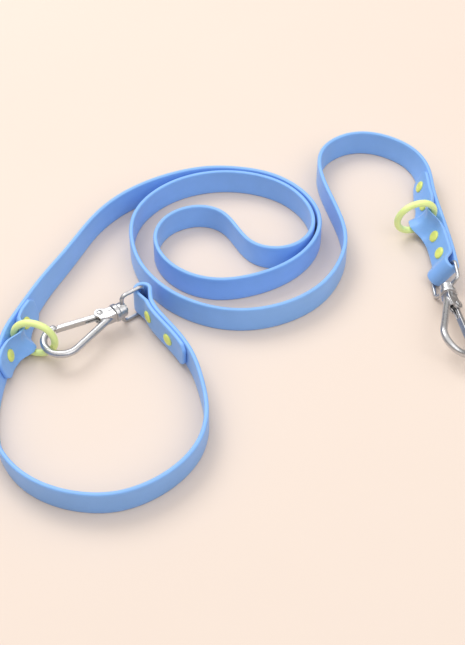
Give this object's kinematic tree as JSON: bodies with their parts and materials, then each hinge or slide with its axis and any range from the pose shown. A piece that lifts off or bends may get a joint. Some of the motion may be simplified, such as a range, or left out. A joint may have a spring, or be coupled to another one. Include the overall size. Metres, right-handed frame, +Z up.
{
  "type": "training leash",
  "caption": "Flat coated strap leash laid in a double spiral, with a handle loop, riveted folds, ring loops and swivel snap hooks whose sprung gates open inward.",
  "frame": {"origin": "centre of the footprint, on the surface that the leash lies on", "axes": "+Z up, +X to the lead hook's side, +Y away from the handle loop's front"},
  "size_m": [0.3155, 0.3393, 0.0351],
  "materials": {
    "strap": "satin coated webbing",
    "ring": "gloss lime coat",
    "rivet": "satin lime coat",
    "hook": "satin plated",
    "pin": "satin plated",
    "spring": "bright wire"
  },
  "bodies": {
    "strap": {"strap": "strap", "keeper": "strap", "handle_posts": "rivet", "handle_caps": "rivet", "keeper_posts": "rivet", "keeper_caps": "rivet", "lead_posts": "rivet", "lead_caps": "rivet"},
    "handle_ring": {"handle_ring": "ring"},
    "handle_eye": {"handle_eye": "hook"},
    "handle_hook": {"handle_hook": "hook", "handle_swivel": "pin", "handle_pivot": "pin", "handle_spring": "spring"},
    "handle_gate": {"handle_gate": "hook"},
    "lead_ring": {"lead_ring": "ring"},
    "lead_eye": {"lead_eye": "hook"},
    "lead_hook": {"lead_hook": "hook", "lead_swivel": "pin", "lead_pivot": "pin", "lead_spring": "spring"},
    "lead_gate": {"lead_gate": "hook"}
  },
  "joints": [
    {"name": "handle_eye_swing", "type": "hinge", "parent": "strap", "child": "handle_eye", "pos_m": [-0.06403, -0.00126, 0.0134], "axis": [0, 0, 1], "range_deg": [-1, 1]},
    {"name": "handle_swivel", "type": "hinge", "parent": "handle_eye", "child": "handle_hook", "pos_m": [-0.07648, -0.01066, 0.0134], "axis": [-0.7983, -0.6023, 0], "range_deg": [-6, 6]},
    {"name": "handle_gate_open", "type": "hinge", "parent": "handle_hook", "child": "handle_gate", "pos_m": [-0.092, -0.01798, 0.0134], "axis": [0, 0, 1], "range_deg": [0, 24], "stiffness_Nm_per_rad": 0.02, "springref_deg": -17.19, "deforming": ["handle_spring"]},
    {"name": "handle_ring_swing", "type": "hinge", "parent": "strap", "child": "handle_ring", "pos_m": [-0.14592, -0.03802, 0.01263], "axis": [-0.287, 0.0688, 0.9554], "range_deg": [-2, 2]},
    {"name": "lead_eye_swing", "type": "hinge", "parent": "strap", "child": "lead_eye", "pos_m": [0.14097, 0.02682, 0.01187], "axis": [0.5585, 0.0283, 0.829], "range_deg": [-60, 60]},
    {"name": "lead_swivel", "type": "hinge", "parent": "lead_eye", "child": "lead_hook", "pos_m": [0.14176, 0.01124, 0.01187], "axis": [0.0506, -0.9987, 0], "continuous": true},
    {"name": "lead_gate_open", "type": "hinge", "parent": "lead_hook", "child": "lead_gate", "pos_m": [0.14551, -0.00539, 0.00991], "axis": [-0.5585, -0.0283, -0.829], "range_deg": [0, 24], "stiffness_Nm_per_rad": 0.02, "springref_deg": -17.19, "deforming": ["lead_spring"]},
    {"name": "lead_ring_swing", "type": "hinge", "parent": "strap", "child": "lead_ring", "pos_m": [0.13647, 0.07849, 0.01151], "axis": [0.5535, 0.0645, 0.8304], "range_deg": [-16, 10]}
  ]
}
